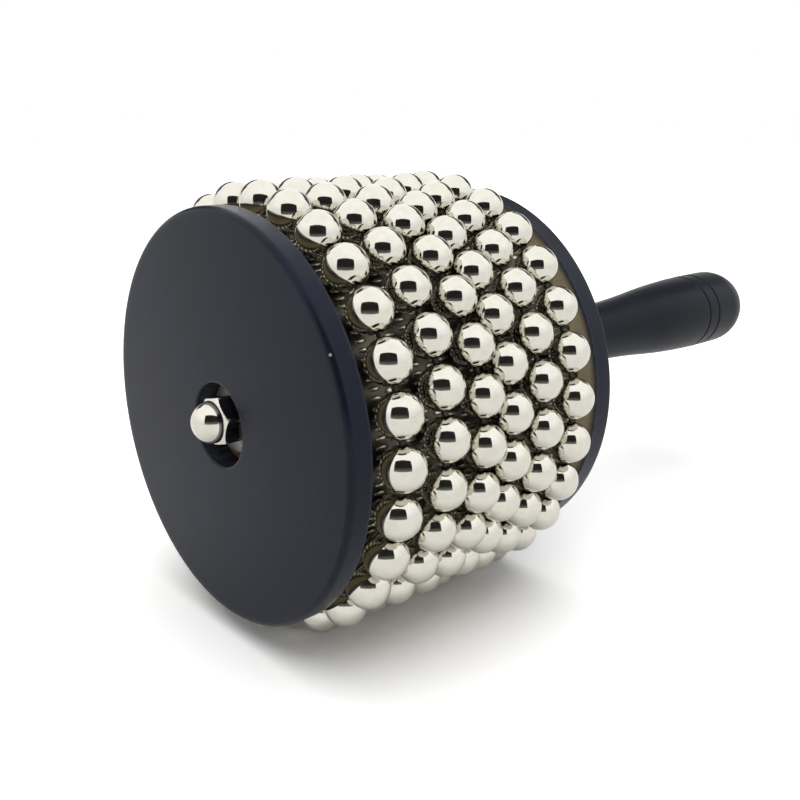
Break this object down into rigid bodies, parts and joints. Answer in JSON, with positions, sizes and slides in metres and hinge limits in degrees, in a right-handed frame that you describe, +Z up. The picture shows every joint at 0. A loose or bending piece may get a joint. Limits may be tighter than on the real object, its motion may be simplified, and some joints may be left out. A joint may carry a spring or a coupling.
{
  "type": "cabasa",
  "caption": "Cabasa: wooden drum with a ribbed steel skin between two black discs, loops of ball chain that turn around it, and a turned black handle.",
  "frame": {"origin": "on the table, below the middle of the whole length, under the drum's axis", "axes": "+X along the drum's axis from the nut to the handle's end, +Z up, +Y completes the right hand"},
  "size_m": [0.2312, 0.111, 0.1111],
  "materials": {
    "black_board": "satin",
    "core_wood": "matte",
    "skin_steel": "embossed",
    "plated_steel": "plated",
    "nickel": "mirror",
    "black_handle": "satin"
  },
  "bodies": {
    "drum": {"front_disc": "black_board", "back_disc": "black_board", "drum_core": "core_wood", "drum_skin": "skin_steel", "tie_rod": "plated_steel", "washer": "plated_steel", "dome_nut": "nickel", "handle": "black_handle"},
    "chain_1": {"chain_1_balls": "nickel", "chain_1_links": "plated_steel"},
    "chain_2": {"chain_2_balls": "nickel", "chain_2_links": "plated_steel"},
    "chain_3": {"chain_3_balls": "nickel", "chain_3_links": "plated_steel"},
    "chain_4": {"chain_4_balls": "nickel", "chain_4_links": "plated_steel"},
    "chain_5": {"chain_5_balls": "nickel", "chain_5_links": "plated_steel"},
    "chain_6": {"chain_6_balls": "nickel", "chain_6_links": "plated_steel"}
  },
  "joints": [
    {"name": "chain_1_turn", "type": "hinge", "parent": "drum", "child": "chain_1", "pos_m": [-0.09546, 0, 0.05554], "axis": [1, 0, 0], "continuous": true},
    {"name": "chain_2_turn", "type": "hinge", "parent": "drum", "child": "chain_2", "pos_m": [-0.08286, 0, 0.05554], "axis": [1, 0, 0], "continuous": true},
    {"name": "chain_3_turn", "type": "hinge", "parent": "drum", "child": "chain_3", "pos_m": [-0.07136, 0, 0.05554], "axis": [1, 0, 0], "continuous": true},
    {"name": "chain_4_turn", "type": "hinge", "parent": "drum", "child": "chain_4", "pos_m": [-0.06239, 0, 0.05554], "axis": [1, 0, 0], "continuous": true},
    {"name": "chain_5_turn", "type": "hinge", "parent": "drum", "child": "chain_5", "pos_m": [-0.05149, 0, 0.05554], "axis": [1, 0, 0], "continuous": true},
    {"name": "chain_6_turn", "type": "hinge", "parent": "drum", "child": "chain_6", "pos_m": [-0.04009, 0, 0.05554], "axis": [1, 0, 0], "continuous": true}
  ],
  "couplings": [
    {"joint": "chain_4_turn", "follows": "chain_3_turn", "ratio": 1}
  ]
}
